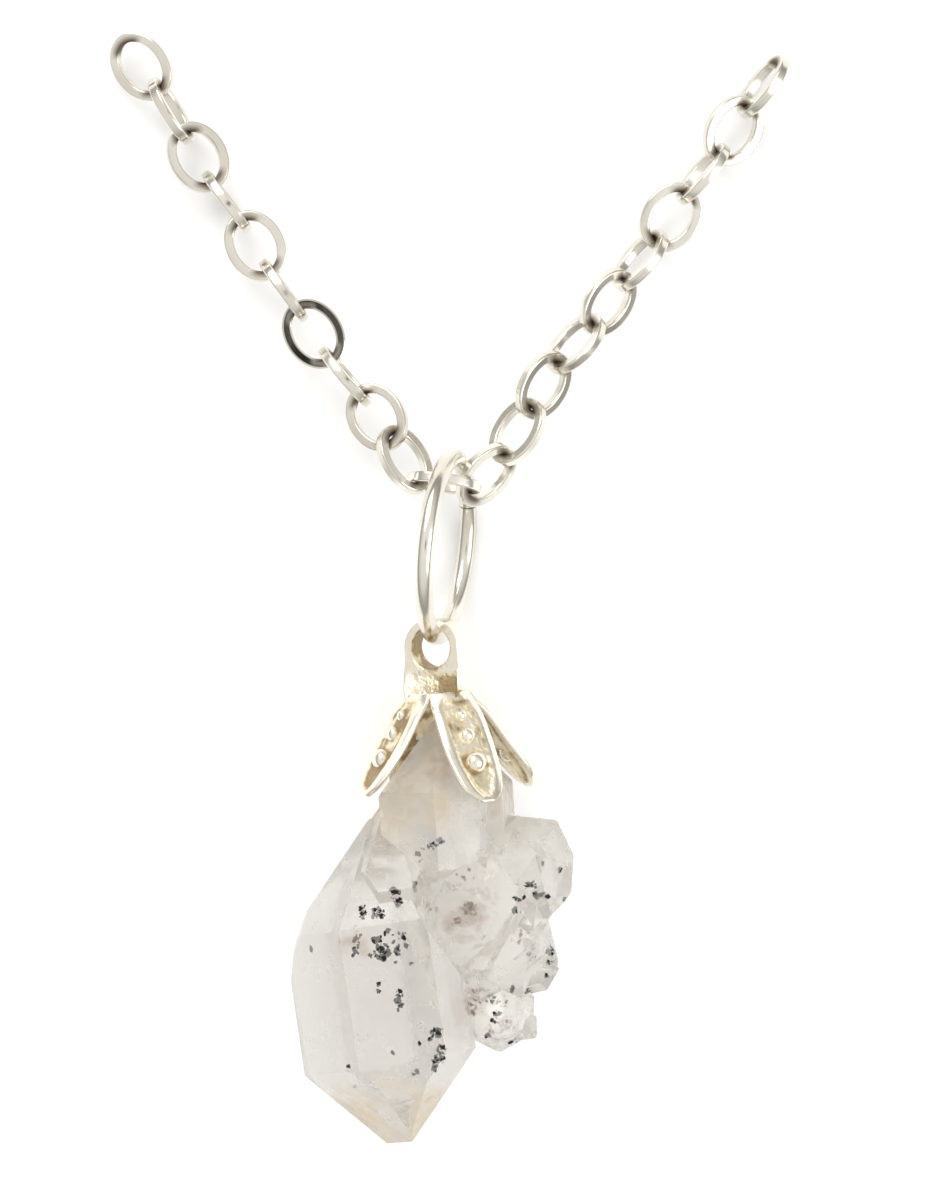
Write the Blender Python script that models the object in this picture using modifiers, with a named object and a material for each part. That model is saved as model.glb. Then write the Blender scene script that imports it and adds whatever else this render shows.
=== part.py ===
"""A Herkimer diamond pendant, lying on its back: a cluster of doubly terminated quartz crystals, glued into a
four-petal leaf cap, with a jump ring through the cap's eye and an oval cable chain through the ring.

Lengths are millimetres until the last step, which scales every mesh to metres. +Z is up. +Y runs from the
crystal's tip to the chain. The origin is on the small flat prism face that the crystal rests on.
"""

import math
import random

import bmesh
import bpy
from mathutils import Matrix, Vector

METRES_PER_MM = 0.001
# Points nearer than this become one: at the caps and seams of a swept piece, and along a Boolean's cuts.
SEAM_WELD = 0.0005
JOIN_WELD = 0.0002

# Quartz: a pyramid face leans this far from the crystal's long axis.
PYRAMID_LEAN = math.radians(38.2)
MAIN_AXIS = (-0.145, 0.989, 0.0)
# The side crystals' faces are this share of their plain distance from the middle, at least and at most.
PRISM_UNEVEN = (0.93, 1.05)
END_UNEVEN = (0.94, 1.08)
# The block that a crystal is cut from, and how close to a plane a point counts as on it.
BLOCK = 60.0
ON_PLANE = 1e-5

# Cap
EYE_CENTRE = Vector((2.8, 18.65, 4.9))
CAP_TURN = math.radians(4.0)
CAP_DIP = math.radians(1.5)
CAP_ROLL = math.radians(-17.0)
EYE_RADIUS = 1.32
EYE_BAND = 0.5
EYE_DEPTH = 1.5
EYE_CORNER = 0.14
EYE_STEPS = 24
# The neck and the petals, as (radius, distance down from the eye's middle).
NECK_PROFILE = ((0.0, 1.15), (0.95, 1.2), (1.3, 1.45), (1.32, 2.05), (1.45, 2.5), (1.7, 2.85), (0.0, 2.9))
NECK_STEPS = 18
PETAL_COUNT = 4
FIRST_PETAL = math.radians(45.0)
# How far each petal is bent outwards, and how long it is, beside the plain profile.
PETAL_FIT = ((0.98, 1.06), (1.09, 0.97), (1.02, 1.0), (1.03, 0.93))
PETAL_WALL = 0.32
PETAL_PROFILE = (
    (1.35, 2.2), (1.7, 2.75), (2.15, 3.3), (2.55, 4.0), (3.05, 4.9), (3.65, 5.9), (4.2, 6.9), (4.4, 7.4),
)
PETAL_HALF_WIDTH = (1.1, 1.28, 1.38, 1.42, 1.42, 1.3, 0.95, 0.25)
PETAL_COLUMNS = (-1.0, -0.74, -0.62, -0.3, 0.0, 0.3, 0.62, 0.74, 1.0)
PETAL_ROWS = (0.0, 0.14, 0.28, 0.42, 0.56, 0.7, 0.82, 0.9, 1.0)
RIM_START = 0.68
RIM_TIP = 0.86
RIM_HEIGHT = 0.2
# The beads down the middle of a petal, as (share of its length, radius).
BEADS = ((0.3, 0.28), (0.48, 0.36), (0.67, 0.42))
BEAD_SEGMENTS = 7
BEAD_RINGS = 4

# Jump ring
RING_CENTRE = Vector((3.3, 23.65, 4.87))
RING_RADIUS = 4.5
RING_WIRE = 0.9
RING_LEAN = math.radians(13.0)
RING_TURN = math.radians(-6.0)
RING_SEAM_AT = math.radians(-60.0)
RING_SEAM = 0.06
RING_STEPS = 34
RING_ROUNDNESS = 3

# Cable chain
LINK_LENGTH = 3.75
LINK_WIDTH = 2.95
LINK_BAND = 0.5
LINK_CORNER = 0.12
LINK_PLAY = 0.06
LINK_STEPS = 14
MIDDLE_LINK = Vector((3.2, 26.85, 3.9))
MIDDLE_HEADING = -8.0
MIDDLE_ROLL = 80.0

# Each link of an arm: the heading and the climb of its long axis and its roll about that axis, in degrees.
# The values are read off the photograph and then changed by a few degrees until no link cuts into the next.
LEFT_ARM = (
    (120, -3, 45), (125, -17, -13), (130, -11, 85), (123, -1, 0), (126, -11, 88),
    (119, -5, 0), (127, -9, 88), (119, 0, 9), (121, 0, 77), (126, -2, -20),
)
RIGHT_ARM = (
    (44, -10, 46), (59, -4, -44), (57, -9, 41), (49, -9, -55), (54, -8, 41),
    (52, -8, -64), (57, 3, 13), (50, 0, -75), (59, -4, 24), (54, 1, -70),
)
# How far the first links of an arm have slid sideways in the link before.
LEFT_SLIDES = (Vector((0, -0.15, 0.2)), Vector((0, -0.1, 0.05)))
RIGHT_SLIDES = (Vector((-0.1, -0.3, -0.3)), Vector((-0.1, 0.1, 0.1)), Vector((-0.1, 0.05, 0)))


def clear_scene():
    for obj in list(bpy.data.objects):
        bpy.data.objects.remove(obj, do_unlink=True)


def make_collection(name):
    collection = bpy.data.collections.new(name)
    bpy.context.scene.collection.children.link(collection)
    return collection


def make_material(name, colour, roughness, metallic, transmission=0.0):
    material = bpy.data.materials.new(name)
    material.use_nodes = True
    shader = material.node_tree.nodes["Principled BSDF"]
    shader.inputs["Base Color"].default_value = (*colour, 1.0)
    shader.inputs["Roughness"].default_value = roughness
    shader.inputs["Metallic"].default_value = metallic
    shader.inputs["Transmission Weight"].default_value = transmission
    return material


def add_object(name, data, collection, material=None):
    obj = bpy.data.objects.new(name, data)
    collection.objects.link(obj)
    if material:
        obj.data.materials.append(material)
    return obj


def mesh_from(bm, name):
    mesh = bpy.data.meshes.new(name)
    bm.to_mesh(mesh)
    bm.free()
    return mesh


def as_mesh(obj, weld=SEAM_WELD):
    """Replaces an object by the mesh that its curve or modifiers make, with the seams of its caps closed."""
    graph = bpy.context.evaluated_depsgraph_get()
    mesh = bpy.data.meshes.new_from_object(obj.evaluated_get(graph))
    bm = bmesh.new()
    bm.from_mesh(mesh)
    bmesh.ops.remove_doubles(bm, verts=bm.verts, dist=weld)
    bmesh.ops.recalc_face_normals(bm, faces=bm.faces)
    bm.to_mesh(mesh)
    bm.free()
    name, matrix, collection = obj.name, obj.matrix_world.copy(), obj.users_collection[0]
    bpy.data.objects.remove(obj, do_unlink=True)
    solid = add_object(name, mesh, collection)
    solid.matrix_world = matrix
    return solid


def join_solids(target, others):
    """Fuses other solids into target with a Boolean union each, and removes them."""
    for other in others:
        union = target.modifiers.new("join " + other.name, "BOOLEAN")
        union.operation = "UNION"
        union.object = other
    joined = as_mesh(target, weld=JOIN_WELD)
    for other in others:
        bpy.data.objects.remove(other, do_unlink=True)
    return joined


def blend_between(values, share):
    """The value at a share from 0 to 1 along a list of numbers or points, straight between neighbours."""
    place = min(max(share, 0.0), 1.0) * (len(values) - 1)
    index = min(int(place), len(values) - 2)
    part = place - index
    low, high = values[index], values[index + 1]
    if isinstance(low, tuple):
        return tuple(a + (b - a) * part for a, b in zip(low, high))
    return low + (high - low) * part


# Quartz


def crystal_frame(axis, face):
    """The crystal's own directions: its long axis, and outwards from its first prism face."""
    along = Vector(axis).normalized()
    outward = Vector(face)
    outward = (outward - along * outward.dot(along)).normalized()
    return along, outward, along.cross(outward)


def cut(bm, point, normal):
    """Slices off everything beyond a plane and closes the cut with one flat face."""
    geometry = bm.verts[:] + bm.edges[:] + bm.faces[:]
    bmesh.ops.bisect_plane(
        bm, geom=geometry, dist=ON_PLANE, plane_co=point, plane_no=normal, clear_outer=True
    )
    open_edges = [edge for edge in bm.edges if edge.is_boundary]
    if open_edges:
        bmesh.ops.holes_fill(bm, edges=open_edges)


def crystal(name, centre, axis, face, prism, upper, lower, extra=()):
    """One quartz crystal: a block cut by six prism faces and by six faces at each end.

    prism is how far each prism face is from the centre. upper and lower are how far along the axis each
    pyramid face would meet it. extra holds further (normal, distance) cuts for broken or steep faces.
    """
    centre = Vector(centre)
    along, outward, side = crystal_frame(axis, face)
    bm = bmesh.new()
    bmesh.ops.create_cube(bm, size=BLOCK, matrix=Matrix.Translation(centre))
    steepness, slope = math.sin(PYRAMID_LEAN), math.cos(PYRAMID_LEAN)
    for k in range(6):
        turn = math.radians(60 * k)
        radial = outward * math.cos(turn) + side * math.sin(turn)
        cut(bm, centre + radial * prism[k], radial)
        cut(bm, centre + along * upper[k], radial * slope + along * steepness)
        cut(bm, centre - along * lower[k], radial * slope - along * steepness)
    for normal, distance in extra:
        direction = Vector(normal).normalized()
        cut(bm, centre + direction * distance, direction)
    bmesh.ops.recalc_face_normals(bm, faces=bm.faces)
    return add_object(name, mesh_from(bm, name), PARTS)


def small_crystal(name, centre, axis, face, radius, half_length, extra=()):
    """One of the side crystals, with faces a little uneven, as they grew."""
    uneven = random.Random(name)
    prism = [radius * uneven.uniform(*PRISM_UNEVEN) for _ in range(6)]
    upper = [half_length * uneven.uniform(*END_UNEVEN) for _ in range(6)]
    lower = [half_length * uneven.uniform(*END_UNEVEN) for _ in range(6)]
    return crystal(name, centre, axis, face, prism, upper, lower, extra)


def build_crystal(material):
    """The cluster: the main crystal, the stub under the cap and the crystals on the right side."""
    main = crystal(
        "herkimer_crystal",
        centre=(0.0, 0.0, 4.0),
        axis=MAIN_AXIS,
        face=(0, 0, 1),
        prism=(4.0, 4.64, 3.24, 4.0, 4.02, 3.17),
        upper=(9.9, 13.6, 13.4, 10.4, 9.3, 8.8),
        lower=(8.34, 7.9, 6.12, 7.59, 7.36, 6.28),
        extra=(((-0.9525, 0.303, 0.08), 5.1), ((-0.993, 0.116, -0.05), 4.7), ((0.856, 0.517, 0.1), 4.8)),
    )
    shoulder = crystal(
        "shoulder",
        centre=(0.86, 5.18, 3.9),
        axis=MAIN_AXIS,
        face=(0, 0, 1),
        prism=(3.3, 2.6, 2.5, 3.3, 2.3, 2.3),
        upper=(5.6, 6.6, 6.8, 6.0, 5.9, 5.4),
        lower=(5.0, 5.2, 5.0, 5.1, 5.0, 5.0),
    )
    stub = crystal(
        "stub",
        centre=(3.35, 11.0, 4.1),
        axis=(-0.07, 0.99, 0.08),
        face=(0.33, 0, 0.94),
        prism=(3.0, 3.05, 3.1, 3.0, 3.15, 3.0),
        upper=(4.5, 4.55, 4.5, 4.45, 4.5, 4.55),
        lower=(7.0, 7.5, 7.0, 7.4, 7.0, 7.2),
    )
    others = [
        small_crystal(
            "upper_right", (7.35, 7.6, 4.2), (0.12, 0.2, 0.97), (0.1, 1.0, 0.0), 2.42, 3.75,
            (((1.0, -0.07, 0.0), 2.28), ((0.707, -0.707, 0.0), 2.5)),
        ),
        small_crystal("bridge", (4.6, 5.6, 4.1), (0.45, 0.85, 0.25), (0, 0, 1), 3.1, 5.4),
        small_crystal(
            "middle_right", (6.4, 3.3, 4.0), (0.35, 0.2, 0.9), (1.0, 0.25, 0.0), 2.25, 3.5,
            (((0.7, -0.72, 0.1), 2.2),),
        ),
        small_crystal("lower_right", (5.95, 0.5, 3.8), (0.15, -0.3, 0.94), (0.5, -0.86, 0.0), 1.7, 3.1),
        small_crystal("bud_a", (7.75, 2.3, 4.7), (0.8, 0.2, 0.5), (0, 0, 1), 0.8, 1.5),
        small_crystal("bud_b", (7.0, -0.2, 4.4), (0.6, -0.5, 0.6), (0, 0, 1), 0.75, 1.3),
        small_crystal("bud_c", (5.1, 7.4, 5.9), (0.2, 0.6, 0.75), (1, 0, 0), 1.05, 1.7),
        small_crystal("bud_d", (5.1, 2.0, 5.3), (-0.2, 0.3, 0.9), (1, 0, 0), 0.95, 1.6),
        small_crystal("bud_e", (6.9, 5.3, 5.3), (0.4, -0.3, 0.8), (0, 1, 0), 1.1, 1.8),
    ]
    cluster = join_solids(main, [shoulder, stub] + others)
    cluster.data.materials.clear()
    cluster.data.materials.append(material)
    return cluster


# Metal


def rounded_square(name, width, depth, corner):
    """The flat outline that a band is swept with, as a guide that isn't part of the object."""
    curve = bpy.data.curves.new(name, "CURVE")
    curve.dimensions = "2D"
    spline = curve.splines.new("POLY")
    spline.points.add(7)
    half_width, half_depth = width / 2, depth / 2
    corners = []
    for sx, sy in ((1, -1), (1, 1), (-1, 1), (-1, -1)):
        first = (sx * half_width, sy * (half_depth - corner))
        second = (sx * (half_width - corner), sy * half_depth)
        corners += [second, first] if sx * sy < 0 else [first, second]
    for point, (x, y) in zip(spline.points, corners):
        point.co = (x, y, 0.0, 1.0)
    spline.use_cyclic_u = True
    guide = add_object(name, curve, GUIDES)
    guide.hide_render = True
    guide.display_type = "WIRE"
    return guide


def oval_band(name, half_length, half_width, guide, steps):
    """A closed oval of a flat-sided band: its middle line is an ellipse, long along X."""
    curve = bpy.data.curves.new(name, "CURVE")
    curve.dimensions = "3D"
    spline = curve.splines.new("POLY")
    spline.points.add(steps - 1)
    for i, point in enumerate(spline.points):
        turn = 2 * math.pi * (i + 0.5) / steps
        point.co = (half_length * math.cos(turn), half_width * math.sin(turn), 0.0, 1.0)
    spline.use_cyclic_u = True
    curve.bevel_mode = "OBJECT"
    curve.bevel_object = guide
    return as_mesh(add_object(name, curve, PARTS))


def build_eye():
    """The eye at the top of the cap, whose hole faces up."""
    guide = rounded_square("eye_section", EYE_BAND, EYE_DEPTH, EYE_CORNER)
    return oval_band("eye", EYE_RADIUS, EYE_RADIUS, guide, EYE_STEPS)


def build_neck():
    """The turned neck between the eye and the petals. The cap is built with its axis along -Y."""
    bm = bmesh.new()
    points = [bm.verts.new((radius, -down, 0.0)) for radius, down in NECK_PROFILE]
    edges = [bm.edges.new(pair) for pair in zip(points, points[1:])]
    bmesh.ops.spin(
        bm, geom=points + edges, cent=(0, 0, 0), axis=(0, 1, 0), angle=2 * math.pi, steps=NECK_STEPS,
        use_merge=True,
    )
    bmesh.ops.remove_doubles(bm, verts=bm.verts, dist=SEAM_WELD)
    bmesh.ops.recalc_face_normals(bm, faces=bm.faces)
    return add_object("neck", mesh_from(bm, "neck"), PARTS)


def petal_point(number, across, along, lift=0.0):
    """A point on a petal's outer face: across from -1 to 1, along from the neck at 0 to the tip at 1."""
    radius, down = blend_between(PETAL_PROFILE, along)
    outward, length = PETAL_FIT[number]
    azimuth = FIRST_PETAL + 2 * math.pi * number / PETAL_COUNT
    turn = azimuth + across * blend_between(PETAL_HALF_WIDTH, along) / radius
    radius = radius * (1 + (outward - 1) * along) + lift
    down = PETAL_PROFILE[0][1] + (down - PETAL_PROFILE[0][1]) * length
    return Vector((radius * math.sin(turn), -down, radius * math.cos(turn)))


def build_petal(number):
    """A leaf-shaped shell with a raised rim round its edge."""
    bm = bmesh.new()
    columns, rows = len(PETAL_COLUMNS) - 1, len(PETAL_ROWS) - 1
    bmesh.ops.create_grid(bm, x_segments=columns, y_segments=rows, size=1.0)
    for vertex in bm.verts:
        column = round((vertex.co.x + 1) / 2 * columns)
        row = round((vertex.co.y + 1) / 2 * rows)
        across, along = PETAL_COLUMNS[column], PETAL_ROWS[row]
        in_rim = abs(across) > RIM_START or along > RIM_TIP
        vertex.co = petal_point(number, across, along, RIM_HEIGHT if in_rim else 0.0)
    bmesh.ops.recalc_face_normals(bm, faces=bm.faces)
    middle = petal_point(number, 0.0, 0.5)
    if bm.faces[:][0].normal.dot(Vector((middle.x, 0, middle.z))) < 0:
        bmesh.ops.reverse_faces(bm, faces=bm.faces)
    name = f"petal_{number}"
    petal = add_object(name, mesh_from(bm, name), PARTS)
    wall = petal.modifiers.new("wall", "SOLIDIFY")
    wall.thickness = PETAL_WALL
    wall.offset = -1.0
    wall.use_even_offset = True
    return as_mesh(petal)


def build_bead(number, along, radius):
    bm = bmesh.new()
    bmesh.ops.create_uvsphere(bm, u_segments=BEAD_SEGMENTS, v_segments=BEAD_RINGS, radius=radius)
    name = f"bead_{number}_{along}"
    bead = add_object(name, mesh_from(bm, name), PARTS)
    bead.data.transform(Matrix.Translation(petal_point(number, 0.0, along)))
    return bead


def build_cap(material):
    """The cast cap: eye, neck, petals and beads fused, then laid along the top of the crystal."""
    pieces = [build_eye()]
    for number in range(PETAL_COUNT):
        pieces.append(build_petal(number))
        pieces += [build_bead(number, along, radius) for along, radius in BEADS]
    cap = join_solids(build_neck(), pieces)
    cap.name = "leaf_cap"
    place = (
        Matrix.Translation(EYE_CENTRE)
        @ Matrix.Rotation(CAP_TURN, 4, "Z")
        @ Matrix.Rotation(CAP_DIP, 4, "X")
        @ Matrix.Rotation(CAP_ROLL, 4, "Y")
    )
    cap.data.transform(place)
    cap.data.materials.append(material)
    return cap


def build_ring(material):
    """The jump ring: round wire bent into a circle whose two ends just miss each other."""
    curve = bpy.data.curves.new("jump_ring", "CURVE")
    curve.dimensions = "3D"
    spline = curve.splines.new("POLY")
    spline.points.add(RING_STEPS)
    gap = RING_SEAM / RING_RADIUS
    for i, point in enumerate(spline.points):
        turn = RING_SEAM_AT + gap / 2 + (2 * math.pi - gap) * i / RING_STEPS
        point.co = (0.0, RING_RADIUS * math.cos(turn), RING_RADIUS * math.sin(turn), 1.0)
    curve.bevel_depth = RING_WIRE / 2
    curve.bevel_resolution = RING_ROUNDNESS
    curve.use_fill_caps = True
    ring = as_mesh(add_object("jump_ring", curve, PARTS))
    place = (
        Matrix.Translation(RING_CENTRE)
        @ Matrix.Rotation(RING_TURN, 4, "Z")
        @ Matrix.Rotation(-RING_LEAN, 4, "Y")
    )
    ring.data.transform(place)
    ring.data.materials.append(material)
    return ring


def place_link(mesh, name, centre, heading, climb, roll, material):
    """One link of the chain: heading and climb aim its long axis, and roll turns it about that axis."""
    link = add_object(name, mesh.copy(), PARTS)
    place = (
        Matrix.Translation(centre)
        @ Matrix.Rotation(math.radians(heading), 4, "Z")
        @ Matrix.Rotation(-math.radians(climb), 4, "Y")
        @ Matrix.Rotation(math.radians(roll), 4, "X")
    )
    link.data.transform(place)
    link.data.materials.append(material)
    return link


def direction(heading, climb):
    flat = math.cos(math.radians(climb))
    heading = math.radians(heading)
    return Vector((flat * math.cos(heading), flat * math.sin(heading), math.sin(math.radians(climb))))


def build_chain(material):
    """The middle link, inside the ring, and an arm of links hooked one into the next on each side of it."""
    guide = rounded_square("link_section", LINK_BAND, LINK_BAND, LINK_CORNER)
    reach = (LINK_LENGTH - LINK_BAND) / 2
    pattern = oval_band("pattern", reach, (LINK_WIDTH - LINK_BAND) / 2, guide, LINK_STEPS)
    middle = direction(MIDDLE_HEADING, 0)
    place_link(pattern.data, "chain_link_middle", MIDDLE_LINK, MIDDLE_HEADING, 0, MIDDLE_ROLL, material)
    arms = (("left", LEFT_ARM, LEFT_SLIDES, -middle), ("right", RIGHT_ARM, RIGHT_SLIDES, middle))
    for side, arm, slides, start in arms:
        last, hooked = start, MIDDLE_LINK + start * reach
        for number, (heading, climb, roll) in enumerate(arm, 1):
            onward = direction(heading, climb)
            hold = hooked - (last + onward).normalized() * (LINK_BAND + LINK_PLAY)
            if number <= len(slides):
                hold += slides[number - 1]
            centre = hold + onward * reach
            name = f"chain_link_{side}_{number:02d}"
            place_link(pattern.data, name, centre, heading, climb, roll, material)
            last, hooked = onward, centre + onward * reach
    bpy.data.objects.remove(pattern, do_unlink=True)


def to_metres():
    """Scales every part from millimetres to metres."""
    for part in PARTS.objects:
        part.data.transform(Matrix.Scale(METRES_PER_MM, 4))
        part.data.update()


clear_scene()
PARTS = make_collection("herkimer_diamond_pendant")
GUIDES = make_collection("guides")
quartz = make_material("quartz", (0.93, 0.93, 0.92), 0.04, 0.0, transmission=1.0)
pale_plating = make_material("pale_gold_plating", (0.93, 0.87, 0.76), 0.16, 1.0)
silver = make_material("silver", (0.88, 0.87, 0.85), 0.14, 1.0)
build_crystal(quartz)
build_cap(pale_plating)
build_ring(silver)
build_chain(silver)
to_metres()
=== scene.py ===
# %% [markdown]
# A quartz pendant on a white table
#
# This lesson dresses a small pendant that was already measured and built as a plain solid model. The
# stone is a Herkimer diamond, a clear quartz crystal with a point at both ends and smaller crystals grown
# on its side. A plated leaf cap is glued over its top, a wire jump ring goes through the cap's eye, and a
# cable chain goes through the ring. The solid model has the shapes and the sizes. What is added here is
# what makes a picture of it believable: the polish of the metal, the clearness of the quartz, and the
# dark specks that grew inside it.
#
# The first cell loads the solid model. Lengths are metres, so a millimetre has a name of its own.

# %% Load the solid model
import math
import random

import bmesh
import bpy
import numpy as np
from mathutils import Matrix, Vector
from mathutils.bvhtree import BVHTree


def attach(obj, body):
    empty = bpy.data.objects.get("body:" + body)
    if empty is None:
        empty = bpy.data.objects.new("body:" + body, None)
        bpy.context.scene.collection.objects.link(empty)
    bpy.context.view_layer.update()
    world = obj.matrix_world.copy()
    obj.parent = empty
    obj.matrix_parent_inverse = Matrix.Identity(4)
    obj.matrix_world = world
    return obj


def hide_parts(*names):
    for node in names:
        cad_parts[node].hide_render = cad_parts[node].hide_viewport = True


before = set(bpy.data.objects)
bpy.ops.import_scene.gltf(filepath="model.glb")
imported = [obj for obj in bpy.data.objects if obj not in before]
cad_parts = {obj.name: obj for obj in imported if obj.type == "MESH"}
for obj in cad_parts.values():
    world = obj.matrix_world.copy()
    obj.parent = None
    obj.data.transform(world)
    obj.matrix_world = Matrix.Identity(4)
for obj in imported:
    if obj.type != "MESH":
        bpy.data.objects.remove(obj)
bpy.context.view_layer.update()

MM = 0.001

# %% [markdown]
# The camera
#
# The photograph looks straight at the front of the stone. The pendant lies on its back here, so the
# camera looks straight down. A long lens from far away keeps the outline of tall and low parts the same,
# as in a catalogue picture. The picture is 60 mm tall where it meets the stone, and the lens is worked
# out from that.

# %% Camera
PICTURE_HEIGHT = 60 * MM
PICTURE_CENTRE = Vector((4.2 * MM, 21.0 * MM, 4.0 * MM))
CAMERA_DISTANCE = 0.6
SENSOR_HEIGHT = 36.0

camera_data = bpy.data.cameras.new("camera")
camera_data.sensor_fit = "VERTICAL"
camera_data.sensor_height = SENSOR_HEIGHT
camera_data.lens = SENSOR_HEIGHT * CAMERA_DISTANCE / PICTURE_HEIGHT
camera_data.dof.use_dof = False
camera = bpy.data.objects.new("camera", camera_data)
camera.location = PICTURE_CENTRE + Vector((0, 0, CAMERA_DISTANCE))
bpy.context.scene.collection.objects.link(camera)
bpy.context.scene.camera = camera
print("lens, mm:", round(camera_data.lens))

# %% [markdown]
# Building a material
#
# A material is a small graph of nodes. Written out link by link, even a simple one fills a page. These
# helpers add a node, fill in its inputs by name, and hand back what comes out of it. An input takes
# either a plain number or the output of an earlier node. Each kind of node that is used more than once
# has a helper of its own.

# %% Helpers: nodes
def add_node(tree, kind, **inputs):
    """Adds a shader node. A keyword in capitals sets a property, any other one an input socket."""
    node = tree.nodes.new(kind)
    for key, value in inputs.items():
        if key.isupper():
            setattr(node, key.lower(), value)
        else:
            fill_socket(tree, node.inputs[key.replace("_", " ")], value)
    return node


def fill_socket(tree, socket, value):
    """Links an input to an earlier node's output, or sets its own number."""
    if isinstance(value, bpy.types.NodeSocket):
        tree.links.new(value, socket)
    else:
        socket.default_value = value


def feed(tree, node, **outputs):
    """Links earlier nodes' outputs to the inputs of a node, by name."""
    for key, output in outputs.items():
        tree.links.new(output, node.inputs[key.replace("_", " ")])


def new_material(name):
    """A material with an empty Principled shader, and its node tree."""
    material = bpy.data.materials.new(name)
    material.use_nodes = True
    return material, material.node_tree, material.node_tree.nodes["Principled BSDF"]


print("node helpers ready")

# %% [markdown]
# Sums, ranges and colours in a material
#
# Most of a procedural material is arithmetic: a noise is moved to another range, two masks are
# multiplied, and a ramp turns the result into a colour. Bump nodes turn a height into a tilt of the
# surface. Texture places come from the object's own coordinates, so a pattern stays on the piece wherever
# the piece is exported.

# %% Helpers: arithmetic and colour nodes
def object_place(tree):
    """The shaded point in the object's own coordinates."""
    return add_node(tree, "ShaderNodeTexCoord").outputs["Object"]


def attribute(tree, name):
    """A number that the mesh carries at each of its points."""
    return add_node(tree, "ShaderNodeAttribute", ATTRIBUTE_NAME=name).outputs["Fac"]


def noise(tree, place, scale, detail=2.0):
    """Soft random clouds from 0 to 1."""
    return add_node(tree, "ShaderNodeTexNoise", Vector=place, Scale=scale, Detail=detail).outputs["Fac"]


def calculate(tree, operation, *values, clamp=False):
    """The result of a Math node."""
    node = add_node(tree, "ShaderNodeMath", OPERATION=operation, USE_CLAMP=clamp)
    for socket, value in zip(node.inputs, values):
        fill_socket(tree, socket, value)
    return node.outputs["Value"]


def calculate_vector(tree, operation, *values):
    """The result of a Vector Math node."""
    node = add_node(tree, "ShaderNodeVectorMath", OPERATION=operation)
    for socket, value in zip(node.inputs, values):
        fill_socket(tree, socket, value)
    return node.outputs["Value" if operation == "DISTANCE" else "Vector"]


def remap(tree, value, from_min, from_max, to_min=0.0, to_max=1.0):
    """The value moved from one range to another, and held at the new range's ends."""
    ends = {"From_Min": from_min, "From_Max": from_max, "To_Min": to_min, "To_Max": to_max}
    return add_node(tree, "ShaderNodeMapRange", Value=value, **ends).outputs["Result"]


def bump(tree, height, strength, distance, **earlier):
    """The surface's direction once a height has tilted it."""
    tilt = {"Height": height, "Strength": strength, "Distance": distance}
    return add_node(tree, "ShaderNodeBump", **tilt, **earlier).outputs["Normal"]


def colour_ramp(tree, value, stops):
    """A colour for each value. A stop is a value and its colour."""
    node = add_node(tree, "ShaderNodeValToRGB", Fac=value)
    elements = node.color_ramp.elements
    for number, (place, colour) in enumerate(stops):
        if number > 1:
            elements.new(place)
        elements[number].position = place
        elements[number].color = (*colour, 1)
    return node.outputs["Color"]


def mix_colours(tree, share, first, second, blend="MIX"):
    """The first colour, and the second one where the share is 1."""
    node = add_node(tree, "ShaderNodeMix", DATA_TYPE="RGBA", BLEND_TYPE=blend)
    fill_socket(tree, node.inputs["Factor"], share)
    fill_socket(tree, node.inputs[6], first)
    fill_socket(tree, node.inputs[7], (*second, 1))
    return node.outputs[2]


print("arithmetic helpers ready")

# %% [markdown]
# The table
#
# A jeweller's picture is taken on matt white that is bright enough to run into white. The table is one
# large disc. It glows very faintly, which lifts the grey shadows, as a light table under the white card
# would.

# %% Table
TABLE_RADIUS = 1.6
TABLE_WHITE = (0.93, 0.93, 0.93, 1.0)
TABLE_GLOW = 0.06

table_bm = bmesh.new()
bmesh.ops.create_circle(table_bm, cap_ends=True, segments=64, radius=TABLE_RADIUS)
table_mesh = bpy.data.meshes.new("table")
table_bm.to_mesh(table_mesh)
table_bm.free()
table = bpy.data.objects.new("table", table_mesh)
bpy.context.scene.collection.objects.link(table)
table_material, table_tree, table_shader = new_material("white_table")
table_shader.inputs["Base Color"].default_value = TABLE_WHITE
table_shader.inputs["Roughness"].default_value = 0.9
table_shader.inputs["Specular IOR Level"].default_value = 0.1
table_shader.inputs["Emission Color"].default_value = (1.0, 1.0, 1.0, 1.0)
table_shader.inputs["Emission Strength"].default_value = TABLE_GLOW
table_mesh.materials.append(table_material)
print("table across, m:", 2 * TABLE_RADIUS)

# %% [markdown]
# The white tent
#
# The light in such a picture comes from all round. Polished metal has no look of its own and shows what
# is around it, so the sky here is a ramp over height: grey near the horizon, which draws the dark lines
# along the wire, and white above. Straight overhead is a small dark spot, where the camera looks in
# through the tent. A link that lies quite flat mirrors just that spot, and that is why one link is black
# in the photograph.

# %% White tent
# height of a direction from 0 at the horizon to 1 overhead, and its grey
SKY_BANDS = ((0.05, 0.3), (0.3, 0.44), (0.6, 0.8), (0.993, 0.92), (0.9948, 0.02))
SKY_TINT = (1.0, 0.985, 0.96)

world = bpy.data.worlds.new("white_tent")
bpy.context.scene.world = world
world.use_nodes = True
sky = world.node_tree
sky_direction = add_node(sky, "ShaderNodeTexCoord").outputs["Generated"]
sky_height = add_node(sky, "ShaderNodeSeparateXYZ", Vector=sky_direction).outputs["Z"]
sky_stops = [(height, [grey * tint for tint in SKY_TINT]) for height, grey in SKY_BANDS]
sky_light = sky.nodes["Background"]
feed(sky, sky_light, Color=colour_ramp(sky, sky_height, sky_stops))
sky_light.inputs["Strength"].default_value = 1.0
print("sky bands:", len(SKY_BANDS))

# %% [markdown]
# The lamps
#
# Two square soft boxes give the metal its highlights and the facets their light and dark sides: a strong
# one from the upper left and a weaker one from the right. A wide ceiling lamp evens out the table. It is
# hidden from reflections, because it would wipe out the dark spot that the flat link mirrors.

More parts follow.
